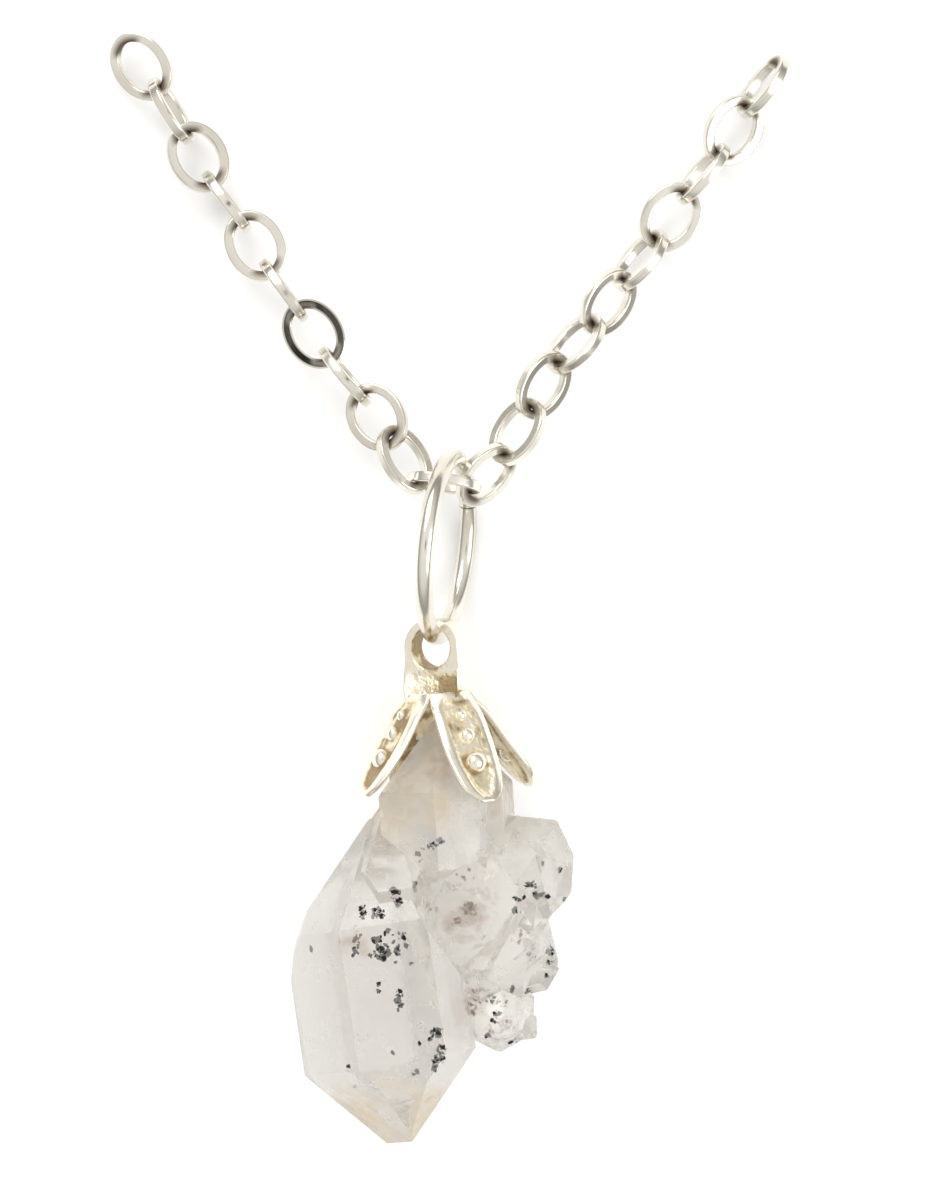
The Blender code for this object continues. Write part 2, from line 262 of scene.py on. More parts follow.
# %% Lamps
def soft_box(name, place, size, power):
    """A square area light aimed at the middle of the picture."""
    data = bpy.data.lights.new(name, "AREA")
    data.size = size
    data.energy = power
    light = bpy.data.objects.new(name, data)
    light.location = place
    light.rotation_euler = (PICTURE_CENTRE - light.location).to_track_quat("-Z", "Y").to_euler()
    bpy.context.scene.collection.objects.link(light)
    return light


soft_box("key_light", Vector((-0.25, 0.58, 0.5)), size=0.5, power=2.7)
soft_box("fill_light", Vector((0.55, -0.1, 0.45)), size=0.4, power=1.5)
ceiling = soft_box("ceiling_light", Vector((0, 0, 1.1)), size=1.6, power=3.4)
ceiling.visible_glossy = False
ceiling.visible_transmission = False
bpy.context.scene.view_settings.view_transform = "Standard"

# %% [markdown]
# Wear on polished metal
#
# Plated metal is never evenly shiny. Fingers and cloths leave fine scratches and faint smears, so the
# gloss changes from place to place. All the metal here shares that effect, so it is a node group: noise
# stretched along one direction makes hairline scratches, and a broad noise makes smears. The group puts
# out a roughness and a height, and each metal places it with its own range of roughness.

# %% Shared effect: polish wear
def new_group(name, inputs, outputs):
    """A shader node group with number inputs and outputs. Returns it, its input sockets and its end node."""
    group = bpy.data.node_groups.new(name, "ShaderNodeTree")
    for label, value in inputs.items():
        socket = group.interface.new_socket(label, in_out="INPUT", socket_type="NodeSocketFloat")
        socket.default_value = value
    for label in outputs:
        group.interface.new_socket(label, in_out="OUTPUT", socket_type="NodeSocketFloat")
    return group, group.nodes.new("NodeGroupInput").outputs, group.nodes.new("NodeGroupOutput")


polish_wear, wear_in, wear_out = new_group(
    "polish_wear",
    {"Scratch Scale": 900.0, "Smear Scale": 300.0, "Low Roughness": 0.08, "High Roughness": 0.22},
    ["Roughness", "Height"],
)
wear_place = object_place(polish_wear)
wear_stretch = add_node(polish_wear, "ShaderNodeMapping", Vector=wear_place)
wear_stretch.inputs["Scale"].default_value = (1.0, 0.12, 0.4)
wear_stretch.inputs["Rotation"].default_value = (0.3, 0.2, 0.9)
scratches = noise(polish_wear, wear_stretch.outputs["Vector"], scale=wear_in["Scratch Scale"], detail=5.0)
smears = noise(polish_wear, wear_place, scale=wear_in["Smear Scale"])
wear_mix = calculate(polish_wear, "MULTIPLY", scratches, smears)
gloss = remap(polish_wear, wear_mix, 0.1, 0.4, wear_in["Low Roughness"], wear_in["High Roughness"])
feed(polish_wear, wear_out, Roughness=gloss, Height=scratches)


def place_wear(tree, low, high):
    """Uses the wear group in a material, with its own range of roughness."""
    node = add_node(tree, "ShaderNodeGroup", NODE_TREE=polish_wear)
    node.inputs["Low Roughness"].default_value = low
    node.inputs["High Roughness"].default_value = high
    return node.outputs


print("group:", polish_wear.name, [item.name for item in polish_wear.interface.items_tree])

# %% [markdown]
# Silver for the ring and the chain
#
# The ring and the links are plated in a neutral silver. Metallic 1 makes the base colour the colour of
# the reflection itself, and a soft noise moves that between two tones. The wear group gives the
# roughness, and its height goes through a weak bump. Where links touch each other, a brown painted shade
# darkens and dulls the silver. The links carry an attribute, 1 at those places, that holds this painted
# shade, and the colour and the roughness follow it. There are two grades: a bright one, and a worn one
# for metal that has been handled.

# %% Material: silver
SILVER_TONES = ((0.35, (0.71, 0.67, 0.59)), (0.6, (0.86, 0.83, 0.75)))
# brown painted shade where links touch
SILVER_JOINT_SHADE = (0.17, 0.135, 0.10)
JOINT_SHADE_DULLS = 0.25


def silver_material(name, low_roughness, high_roughness):
    """Polished silver plating with a soft change of tone, and painted shade where the attribute says."""
    material, tree, shader = new_material(name)
    shader.inputs["Metallic"].default_value = 1.0
    wear = place_wear(tree, low=low_roughness, high=high_roughness)
    plating = colour_ramp(tree, noise(tree, object_place(tree), scale=260.0), SILVER_TONES)
    # painted shade where links touch: darker and rougher
    joint_shade = attribute(tree, "joint_shade")
    feed(
        tree, shader,
        Normal=bump(tree, wear["Height"], strength=0.04, distance=0.02 * MM),
        Base_Color=mix_colours(tree, joint_shade, plating, SILVER_JOINT_SHADE),
        Roughness=calculate(tree, "MULTIPLY_ADD", joint_shade, JOINT_SHADE_DULLS, wear["Roughness"]),
    )
    print("material:", name)
    return material


silver = silver_material("silver", 0.04, 0.13)
worn_silver = silver_material("worn_silver", 0.14, 0.28)

# %% [markdown]
# Pale gold for the cap
#
# The cap is cast, with a warm champagne plating. Polish reaches the raised rims and beads but not the
# hollows, so the hollows keep the grain of the casting and stay duller and browner, in uneven patches.
# The petals and the eye plate carry an attribute called hollow, 0 where the cloth reaches, 1 in a hollow,
# and more where dirt sits in the plate's pit, and where painted shade darkens the foot of the rims, the
# rings round the beads, the hole's wall and the left petal. The colour, the roughness and the strength
# of the grain all follow it.

# %% Material: pale gold
GOLD_TONES = ((0.1, (0.96, 0.90, 0.77)), (0.6, (0.93, 0.82, 0.58)), (1.0, (0.40, 0.30, 0.17)))
HOLLOW_DULLS = 0.12

pale_gold, gold_tree, gold_shader = new_material("pale_gold_plating")
gold_shader.inputs["Metallic"].default_value = 1.0
gold_wear = place_wear(gold_tree, low=0.15, high=0.32)
gold_place = object_place(gold_tree)
gold_hollow = attribute(gold_tree, "hollow")
scratched = bump(gold_tree, gold_wear["Height"], strength=0.08, distance=0.03 * MM)
cast_grain = noise(gold_tree, gold_place, scale=2600.0, detail=3.0)
cast_share = remap(gold_tree, gold_hollow, 0.0, 1.0, 0.12, 0.9)
patch_cloud = noise(gold_tree, gold_place, scale=900.0, detail=3.0)
uneven_patches = remap(gold_tree, patch_cloud, 0.35, 0.65, 0.2, 0.8)
# hollows, dirt and painted shade, broken into uneven patches; the ramp browns them
gold_dirt_and_shade = calculate(gold_tree, "MULTIPLY", gold_hollow, uneven_patches)
feed(
    gold_tree, gold_shader,
    Normal=bump(gold_tree, cast_grain, strength=cast_share, distance=0.12 * MM, Normal=scratched),
    Base_Color=colour_ramp(gold_tree, gold_dirt_and_shade, GOLD_TONES),
    Roughness=calculate(gold_tree, "MULTIPLY_ADD", gold_hollow, HOLLOW_DULLS, gold_wear["Roughness"]),
)
print("material:", pale_gold.name)

# %% [markdown]
# Clear quartz
#
# Quartz bends light a little more than window glass, so its IOR is 1.544. A share of the light is held
# back from passing through, because a stone full of tiny veils looks milky. Thick parts should be greyer
# than thin ones, and a thin volume absorption does that. All of these are plain numbers on the shaders.
#
# Glass in Cycles throws a dark shadow, because a lamp's light isn't followed through its bends. A real
# clear stone has a pale one. So for shadow rays and diffuse rays the stone is only slightly tinted
# transparent, and for the camera, reflections and refractions it is glass. The Light Path node tells
# which ray is asking.

# %% Material: quartz, its glass
QUARTZ_IOR = 1.544
QUARTZ_PASSES = 0.8
QUARTZ_ABSORBS = (0.86, 0.84, 0.80, 1)
QUARTZ_DENSITY = 90.0
SHADOW_TINT = (0.93, 0.93, 0.94, 1)

quartz, quartz_tree, quartz_shader = new_material("quartz")
quartz_shader.inputs["Transmission Weight"].default_value = QUARTZ_PASSES
quartz_shader.inputs["IOR"].default_value = QUARTZ_IOR
ray_kind = add_node(quartz_tree, "ShaderNodeLightPath").outputs
lamp_rays = calculate(quartz_tree, "MAXIMUM", ray_kind["Is Shadow Ray"], ray_kind["Is Diffuse Ray"])
pale_shadow = add_node(quartz_tree, "ShaderNodeBsdfTransparent", Color=SHADOW_TINT)
quartz_mix = add_node(quartz_tree, "ShaderNodeMixShader", Fac=lamp_rays)
quartz_tree.links.new(quartz_shader.outputs["BSDF"], quartz_mix.inputs[1])
quartz_tree.links.new(pale_shadow.outputs["BSDF"], quartz_mix.inputs[2])
absorption = add_node(quartz_tree, "ShaderNodeVolumeAbsorption", Color=QUARTZ_ABSORBS, Density=QUARTZ_DENSITY)
quartz_output = quartz_tree.nodes["Material Output"]
feed(quartz_tree, quartz_output, Surface=quartz_mix.outputs["Shader"], Volume=absorption.outputs["Volume"])
print("material:", quartz.name, "IOR", QUARTZ_IOR)

# %% [markdown]
# Tea-coloured stains in the quartz
#
# Iron has stained the stone a faint tea colour under the cap and at its lower tip. Two ranges along Y say
# where. They are multiplied by a soft cloud and by the cells of a Voronoi texture, which look like small
# blocks of crystal under the skin. The stub has one face that stayed clear, so a narrow range across X
# thins the stain there. What comes out is one mask, and the colour, the frost and the ripples all read
# it.

# %% Material: quartz, where it is stained
CAP_STAIN = (7.5 * MM, 11.5 * MM)
TIP_STAIN = (-2.7 * MM, -3.9 * MM)
CLEAR_FACE = 4.4 * MM
CLEAR_HALF_WIDTH = (0.85 * MM, 1.05 * MM)

stone_place = object_place(quartz_tree)
stone_axes = add_node(quartz_tree, "ShaderNodeSeparateXYZ", Vector=stone_place).outputs
cap_stain = remap(quartz_tree, stone_axes["Y"], *CAP_STAIN)
tip_stain = remap(quartz_tree, stone_axes["Y"], *TIP_STAIN)
stain_cloud = noise(quartz_tree, stone_place, scale=420.0)
stain_blocks = add_node(quartz_tree, "ShaderNodeTexVoronoi", Vector=stone_place, Scale=750.0).outputs["Color"]
block_share = remap(quartz_tree, stain_blocks, 0.2, 0.8, 0.5, 1.4)
from_clear = calculate(quartz_tree, "SUBTRACT", stone_axes["X"], CLEAR_FACE)
clear_share = remap(quartz_tree, calculate(quartz_tree, "ABSOLUTE", from_clear), *CLEAR_HALF_WIDTH, 0.1)
stain = calculate(quartz_tree, "ADD", cap_stain, tip_stain, clamp=True)
for share in (stain_cloud, block_share, clear_share):
    stain = calculate(quartz_tree, "MULTIPLY", stain, share)
print("stained above y, mm:", round(CAP_STAIN[0] / MM, 1), "and below:", round(TIP_STAIN[0] / MM, 1))

# %% [markdown]
# The colour of the quartz
#
# A ramp turns the mask into a colour, from a neutral milky grey to tea. The young crystals on the right
# side are clearer, so a second colour is screened over them, which only ever lightens. Then come five
# brown clouds, where iron lies deeper. Each is a soft ball round a place in the picture, and one noise
# pushes all their places about so that their edges fray.

# %% Material: quartz, its colour
QUARTZ_TONES = ((0.1, (0.71, 0.69, 0.65)), (0.65, (0.80, 0.69, 0.52)))
YOUNG_SIDE = (3.5 * MM, 6.0 * MM)
YOUNG_LIGHT = (0.42, 0.40, 0.36)
# x, y and reach in mm
IRON_CLOUDS = ((4.6, 5.6, 0.85), (3.9, 4.9, 0.75), (4.5, 0.6, 0.9), (-1.15, 4.2, 0.7), (3.2, 12.3, 0.9))
CLOUD_COLOUR = (0.40, 0.29, 0.23)
CLOUD_SHARE = 0.65
CLOUD_FRAY = 3.2

young_share = remap(quartz_tree, stone_axes["X"], *YOUNG_SIDE)
stained_tone = colour_ramp(quartz_tree, stain, QUARTZ_TONES)
stone_colour = mix_colours(quartz_tree, young_share, stained_tone, YOUNG_LIGHT, "SCREEN")
stone_flat = calculate_vector(quartz_tree, "MULTIPLY", stone_place, (1, 1, 0))
fray = add_node(quartz_tree, "ShaderNodeTexNoise", Vector=stone_flat, Scale=900.0).outputs["Color"]
fray_reach = (CLOUD_FRAY * MM, CLOUD_FRAY * MM, 0)
frayed_place = calculate_vector(quartz_tree, "MULTIPLY_ADD", fray, fray_reach, stone_flat)
for x, y, reach in IRON_CLOUDS:
    middle = ((x + CLOUD_FRAY / 2) * MM, (y + CLOUD_FRAY / 2) * MM, 0)
    away = calculate_vector(quartz_tree, "DISTANCE", frayed_place, middle)
    cloud = remap(quartz_tree, away, 0.0, reach * MM, CLOUD_SHARE, 0.0)
    stone_colour = mix_colours(quartz_tree, cloud, stone_colour, CLOUD_COLOUR)
feed(quartz_tree, quartz_shader, Base_Color=stone_colour)
print("iron clouds:", len(IRON_CLOUDS))

# %% [markdown]
# Frost on the quartz
#
# The faces aren't evenly glossy. Where the stone is stained its skin is also etched, like frosted glass,
# and a cloudy noise spreads a thinner frost over the rest. The sum of the two sets the roughness.

# %% Material: quartz, its frost
FROST = (0.12, 0.5)

frost_cloud = noise(quartz_tree, stone_place, scale=650.0, detail=4.0)
frost_sum = calculate(quartz_tree, "ADD", frost_cloud, stain)
feed(quartz_tree, quartz_shader, Roughness=remap(quartz_tree, frost_sum, 0.35, 1.0, *FROST))
print("roughness:", FROST)

# %% [markdown]
# Growth lines and ripples
#
# Quartz faces carry fine growth lines across the long axis. A noise on a mapping that is turned with the
# crystal and pressed flat along its length gives them, through a weak bump. A second bump, from Voronoi
# cells, makes the scalloped ripples of a broken or overgrown skin. It is nearly nothing on the clean
# faces, strong where the stone is stained, and strong in a round spot over the bridge between the large
# crystal and the small ones.

# %% Material: quartz, its relief
CRYSTAL_LEAN = math.radians(8.3)
BRIDGE = (4.4 * MM, 5.2 * MM, 0)
BRIDGE_REACH = (1.2 * MM, 2.4 * MM)

stone_rows = add_node(quartz_tree, "ShaderNodeMapping", Vector=stone_place)
stone_rows.inputs["Rotation"].default_value = (0, 0, -CRYSTAL_LEAN)
stone_rows.inputs["Scale"].default_value = (0.25, 2.2, 0.25)
growth_lines = noise(quartz_tree, stone_rows.outputs["Vector"], scale=900.0, detail=3.0)
lined = bump(quartz_tree, growth_lines, strength=0.12, distance=0.05 * MM)
ripples = add_node(quartz_tree, "ShaderNodeTexVoronoi", Vector=stone_place, Scale=1400.0).outputs["Distance"]
stain_ripples = remap(quartz_tree, stain, 0.05, 0.6, 0.06, 0.9)
from_bridge = calculate_vector(quartz_tree, "DISTANCE", stone_flat, BRIDGE)
bridge_ripples = remap(quartz_tree, from_bridge, *BRIDGE_REACH, 0.7, 0.0)
ripple_share = calculate(quartz_tree, "MAXIMUM", stain_ripples, bridge_ripples)
rippled = bump(quartz_tree, ripples, strength=ripple_share, distance=0.25 * MM, Normal=lined)
feed(quartz_tree, quartz_shader, Normal=rippled)
print("nodes in the quartz:", len(quartz_tree.nodes))

# %% [markdown]
# Making a piece
#
# Every new piece is a mesh that is shaped by operators and then handed to Blender as an object at the
# origin. Its place is in its mesh, so a pattern on object coordinates stays where it is when the piece is
# exported. Faces are shaded smooth, and an angle decides which edges stay crisp. Every piece moves with
# the pendant's one body.

# %% Helper: a piece
def new_piece(name, bm, material, crisp):
    """Turns a bmesh into an object at the origin that moves with the pendant."""
    mesh = bpy.data.meshes.new(name)
    bm.to_mesh(mesh)
    bm.free()
    mesh.shade_smooth()
    mesh.set_sharp_from_angle(angle=math.radians(crisp))
    mesh.materials.append(material)
    piece = bpy.data.objects.new(name, mesh)
    bpy.context.scene.collection.objects.link(piece)
    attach(piece, "root")
    return piece


print("piece helper ready")

# %% [markdown]
# The crystal
#
# The solid model's crystal is loose triangles. A copy is welded into one skin, its flat faces are put
# back together, and its edges get a tiny bevel, because a knife-sharp edge catches no light. The solid
# stays in the model for its weight and its contacts, and this copy is shown for it. A search tree of the
# welded skin is kept, because the specks will be placed by looking through it.

# %% Crystal
EDGE_BEVEL = 0.035 * MM
WELD = 0.002 * MM
FLAT_ENOUGH = math.radians(0.6)
FACET_EDGE = math.radians(12)

crystal_bm = bmesh.new()
crystal_bm.from_mesh(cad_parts["herkimer_crystal"].data)
bmesh.ops.remove_doubles(crystal_bm, verts=crystal_bm.verts, dist=WELD)
bmesh.ops.dissolve_limit(crystal_bm, angle_limit=FLAT_ENOUGH, verts=crystal_bm.verts, edges=crystal_bm.edges)
crystal_tree = BVHTree.FromBMesh(crystal_bm)
sharp = [e for e in crystal_bm.edges if len(e.link_faces) == 2 and e.calc_face_angle() > FACET_EDGE]
bmesh.ops.bevel(
    crystal_bm, geom=sharp, offset=EDGE_BEVEL, segments=2, profile=0.5, affect="EDGES", material=-1,
    clamp_overlap=True,
)
bmesh.ops.recalc_face_normals(crystal_bm, faces=crystal_bm.faces)
print("crystal faces:", len(crystal_bm.faces))
crystal = new_piece("crystal_faces", crystal_bm, quartz, crisp=12.0)
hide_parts("herkimer_crystal")

# %% [markdown]
# Looking into the crystal
#
# The specks sit inside the stone, and the stone bends the light that comes from them. To make a speck
# appear at a chosen place in the picture, a ray goes straight down from the camera, turns where it meets
# the face, and the speck is put a little way along the turned ray. That is Snell's law with the quartz's
# own IOR. Near an edge the turned ray can leave the stone again. The nearest face tells whether the point
# is still inside it.

# %% Helper: a point inside the crystal
ABOVE_STONE = 0.05
SKIN = 0.03 * MM


def point_inside(x, y, depth):
    """The point that shows at x, y from above and lies depth under the face. None outside the crystal."""
    down = Vector((0, 0, -1))
    hit, normal, _, _ = crystal_tree.ray_cast(Vector((x, y, ABOVE_STONE)), down)
    if hit is None:
        return None
    ratio = 1 / QUARTZ_IOR
    cosine = -normal.dot(down)
    bent = 1 - ratio * ratio * (1 - cosine * cosine)
    inward = down * ratio + normal * (ratio * cosine - math.sqrt(max(bent, 0.0)))
    place = hit + inward.normalized() * depth
    nearest, outward, _, _ = crystal_tree.find_nearest(place)
    return place if outward.dot(place - nearest) < SKIN else None


print("under the middle of the front face, mm:", [round(v / MM, 2) for v in point_inside(0, 0, 1 * MM)])

# %% [markdown]
# What the specks are made of
#
# Herkimer quartz is known for black specks of anthraxolite, a carbon left by old oil. Some of the specks
# here are brown iron instead, and some are pale flakes of healed cracks, called veils, whose pale colour
# is partly painted highlight, standing in for the glints of those cracks. All three are dull grains with
# a fine mottle between two shades of one colour, so one function makes them.

# %% Material: specks
def speck_material(name, colour, roughness):
    """A dull grain, mottled between its colour and a lighter shade of it."""
    material, tree, shader = new_material(name)
    lighter = [min(1.0, part * 2.2 + 0.01) for part in colour]
    mottle = noise(tree, object_place(tree), scale=9000.0, detail=3.0)
    feed(tree, shader, Base_Color=colour_ramp(tree, mottle, ((0.35, colour), (0.75, lighter))))
    shader.inputs["Roughness"].default_value = roughness
    shader.inputs["Specular IOR Level"].default_value = 0.05
    return material


carbon = speck_material("carbon", (0.012, 0.011, 0.010), 0.45)
iron_stain = speck_material("iron_stain", (0.13, 0.08, 0.055), 0.7)
# veils: pale flakes whose colour is partly a painted highlight for the cracks' glints
veil_glint = speck_material("veil_glint", (0.62, 0.55, 0.49), 0.5)
print("materials:", carbon.name, iron_stain.name, veil_glint.name)

# %% [markdown]
# Where the specks are
#
# The grains gather in patches. A patch is given as its place in the picture, how far it spreads across
# and along, and how many grains it has. The places were chosen a patch at a time.

# %% Places of the specks
# x and y in mm, spread across and along in mm, number of grains
CARBON_PATCHES = (
    (0.75, 6.4, 0.26, 0.3, 30), (0.95, 5.95, 0.18, 0.2, 16), (-0.85, 5.5, 0.2, 0.4, 22),
    (-0.07, 5.45, 0.36, 0.32, 42), (1.8, 6.65, 0.14, 0.3, 8), (-1.2, 3.6, 0.2, 0.3, 14),
    (-0.1, 4.15, 0.24, 0.2, 20), (0.4, 4.5, 0.18, 0.15, 9), (0.12, 3.55, 0.42, 0.42, 64),
    (0.9, 3.65, 0.2, 0.28, 16), (1.38, 3.78, 0.1, 0.1, 4), (-0.45, 3.32, 0.12, 0.12, 5),
    (1.0, 4.2, 0.4, 0.4, 9), (1.6, 2.9, 0.1, 0.08, 3), (0.85, 3.0, 0.08, 0.08, 2),
    (-0.05, 1.95, 0.1, 0.1, 3), (0.0, 1.5, 0.12, 0.1, 4), (0.95, 1.25, 0.22, 0.36, 18),
    (1.0, 0.95, 0.12, 0.2, 8), (0.95, 0.62, 0.06, 0.06, 1), (2.8, -0.5, 0.28, 0.26, 26),
    (3.1, -1.3, 0.26, 0.26, 14), (2.9, -1.85, 0.3, 0.3, 24), (2.75, -2.3, 0.16, 0.12, 6),
    (2.05, -1.02, 0.1, 0.08, 3), (2.45, -0.8, 0.1, 0.08, 3), (0.7, -1.55, 0.07, 0.07, 1),
    (1.8, -2.45, 0.13, 0.12, 5), (-1.6, -2.2, 0.12, 0.1, 3), (-1.2, -3.25, 0.1, 0.1, 3),
    (-3.4, 3.6, 0.06, 0.06, 2), (2.6, 8.75, 0.3, 0.18, 12), (3.05, 8.95, 0.14, 0.14, 6),
    (7.5, 6.8, 0.3, 0.26, 20), (7.85, 6.3, 0.26, 0.18, 16), (8.35, 6.25, 0.16, 0.12, 8),
    (8.1, 7.9, 0.1, 0.1, 3), (9.0, 7.55, 0.1, 0.12, 4), (6.9, 6.1, 0.3, 0.2, 10),
    (6.8, 5.55, 0.26, 0.16, 9), (9.15, 6.05, 0.1, 0.1, 3), (8.55, 3.4, 0.2, 0.34, 18),
    (8.5, 2.95, 0.16, 0.16, 8), (8.35, 2.25, 0.12, 0.12, 4), (6.65, 1.6, 0.16, 0.14, 8),
    (7.35, 1.45, 0.24, 0.16, 12), (7.55, 3.25, 0.2, 0.2, 4), (5.5, 1.1, 0.26, 0.22, 10),
    (5.85, 0.4, 0.2, 0.16, 8), (5.65, 0.0, 0.12, 0.14, 6), (5.35, -0.7, 0.14, 0.12, 5),
    (6.55, -1.1, 0.32, 0.3, 14),
)
IRON_PATCHES = (
    (-1.15, 4.15, 0.24, 0.4, 18), (4.5, 5.65, 0.4, 0.36, 40), (3.85, 4.95, 0.3, 0.26, 20),
    (4.55, 0.55, 0.3, 0.34, 22), (2.2, 5.9, 0.3, 0.3, 6), (1.9, 8.3, 0.5, 0.4, 8), (4.2, 7.2, 0.6, 0.5, 10),
    (5.2, 1.5, 0.3, 0.2, 8), (6.2, 1.0, 0.3, 0.3, 8), (6.2, -0.9, 0.4, 0.2, 10), (6.9, 4.4, 0.3, 0.3, 6),
)
# veils, placed where the cracks glint: partly painted highlights
VEIL_GLINT_PATCHES = (
    (-1.3, -3.4, 0.3, 0.12, 16), (-0.6, -3.15, 0.4, 0.1, 12), (0.5, -2.8, 0.5, 0.1, 14),
    (1.4, -2.55, 0.4, 0.12, 12), (0.2, 9.3, 0.35, 0.3, 10), (0.6, 8.1, 0.4, 0.3, 8),
    (-0.9, -0.6, 0.5, 0.4, 8), (2.4, 0.9, 0.4, 0.5, 8),
)
print("patches:", len(CARBON_PATCHES), len(IRON_PATCHES), len(VEIL_GLINT_PATCHES))

# %% [markdown]
# The specks
#
# Each grain is a small ball of twenty faces, squashed and knocked out of shape, which is enough for
# something a tenth of a millimetre across. A patch gets a few large grains and many small ones. Each kind
# is one piece, and each has its own fixed seed, so every run gives the same grains. Carbon lies at the
# skin, the others deeper.

# %% Specks
LARGE_SHARE = 0.25


def add_grain(bm, place, size, chance):
    """One ragged grain: a ball of twenty faces, knocked about and squashed."""
    ball = bmesh.ops.create_icosphere(bm, subdivisions=1, radius=size)["verts"]
    for vertex in ball:
        vertex.co *= chance.uniform(0.6, 1.25)
    squash = Matrix.Diagonal((1.0, chance.uniform(0.55, 1.0), chance.uniform(0.25, 0.5), 1.0))
    spin = Matrix.Rotation(chance.uniform(0, math.tau), 4, "Z")
    tilt = Matrix.Rotation(chance.uniform(-0.7, 0.7), 4, "X")
    bmesh.ops.transform(bm, matrix=Matrix.Translation(place) @ spin @ tilt @ squash, verts=ball)


def speck_patches(name, patches, material, depths, sizes, seed):
    """All the grains of one kind, as one piece. Depths and sizes are ranges in mm."""
    chance = random.Random(seed)
    bm = bmesh.new()
    grains = 0
    for x, y, across, along, count in patches:
        for number in range(count):
            out = chance.random() ** 0.7
            turn = chance.uniform(0, math.tau)
            spot = (x + across * out * math.cos(turn), y + along * out * math.sin(turn))
            place = point_inside(spot[0] * MM, spot[1] * MM, chance.uniform(*depths) * MM)
            if place is None:
                continue
            share = 1.0 if number < count * LARGE_SHARE else chance.uniform(0.35, 0.75)
            add_grain(bm, place, share * chance.uniform(*sizes) * MM, chance)
            grains += 1
    bmesh.ops.recalc_face_normals(bm, faces=bm.faces)
    new_piece(name, bm, material, crisp=180.0)
    print(name, "grains:", grains)


speck_patches("carbon_specks", CARBON_PATCHES, carbon, (-0.02, 0.22), (0.11, 0.19), 7)
speck_patches("iron_specks", IRON_PATCHES, iron_stain, (0.5, 1.5), (0.08, 0.16), 11)
speck_patches("veil_glint_specks", VEIL_GLINT_PATCHES, veil_glint, (0.1, 0.6), (0.06, 0.13), 5)

# %% [markdown]
# A band bent into a loop
#
# A chain link is a flat-sided band bent round and closed. The section is a square from create_circle with
# its corners bevelled round, and spin carries it once round the middle, on a radius of 1. The round loop
# is then eased into an oval by moving each point out from the oval's middle line, which keeps the band's
# thickness all round.

# %% Helper: a band loop
def band_loop(half_length, half_width, band, corner, steps):
    """A closed band round Z as a bmesh: half_length and half_width are to the band's middle line."""
    bm = bmesh.new()
    square = bmesh.ops.create_circle(bm, segments=4, radius=math.sqrt(0.5))["verts"]
    bmesh.ops.rotate(bm, verts=square, matrix=Matrix.Rotation(math.radians(45), 3, "Z"))
    bmesh.ops.scale(bm, verts=square, vec=(band, band, 1.0))
    bmesh.ops.bevel(
        bm, geom=bm.verts[:] + bm.edges[:], offset=corner, segments=4, profile=0.5, affect="VERTICES",
        material=-1,
    )
    bmesh.ops.rotate(bm, verts=bm.verts, matrix=Matrix.Rotation(math.radians(90), 3, "X"))
    bmesh.ops.translate(bm, verts=bm.verts, vec=(1.0, 0, 0))
    bmesh.ops.spin(
        bm, geom=bm.verts[:] + bm.edges[:], cent=(0, 0, 0), axis=(0, 0, 1), angle=math.tau, steps=steps,
        use_merge=True,
    )
    for vertex in bm.verts:
        turn = math.atan2(vertex.co.y, vertex.co.x)
        out = math.hypot(vertex.co.x, vertex.co.y) - 1.0
        normal = Vector((half_width * math.cos(turn), half_length * math.sin(turn))).normalized()
        vertex.co.x = half_length * math.cos(turn) + normal.x * out
        vertex.co.y = half_width * math.sin(turn) + normal.y * out
    bmesh.ops.remove_doubles(bm, verts=bm.verts, dist=0.001 * MM)
    bmesh.ops.recalc_face_normals(bm, faces=bm.faces)
    return bm


print("band helper ready")

# %% [markdown]
# Where each link lies
#
# Every link keeps the place that its solid has. The solid's points say where its middle is and which way
# it lies: an oval is longest along its length and thinnest across its plane, so the spread of its points
# in each direction gives its three axes.

# %% Helper: the place of a link
def principal_axes(node):
    """The middle of a solid and its long, middle and short directions, as one matrix."""
    points = np.array([vertex.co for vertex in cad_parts[node].data.vertices])
    points = np.unique(points.round(9), axis=0)
    middle = points.mean(axis=0)
    _, directions = np.linalg.eigh(np.cov((points - middle).T))
    long, across = Vector(directions[:, 2]), Vector(directions[:, 1])
    turn = Matrix((long, across, long.cross(across))).transposed().to_4x4()
    return Matrix.Translation(Vector(middle)) @ turn


link_names = sorted(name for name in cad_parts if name.startswith("chain_link"))
print("links:", len(link_names))

# %% [markdown]
# The chain
#
# One smooth oval is made for each link and put in its place. The links are worn silver, except for one:
# the flat link that mirrors the dark camera is a bright one, because a duller face would blur the dark
# away. The inside of both ends, where the next link touches, gets the attribute that the silver shows as
# painted shade.

# %% Chain
LINK_LENGTH = 3.75 * MM
LINK_WIDTH = 2.95 * MM
LINK_BAND = 0.5 * MM
LINK_CORNER = 0.1 * MM
LINK_STEPS = 96
SHADED_ENDS = (0.7 * MM, 0.35 * MM)
BRIGHT_LINK = "chain_link_left_04"


def ease(value, low, high):
    """0 below low, 1 above high, and an even S between."""
    share = min(max((value - low) / (high - low), 0.0), 1.0)
    return share * share * (3 - 2 * share)


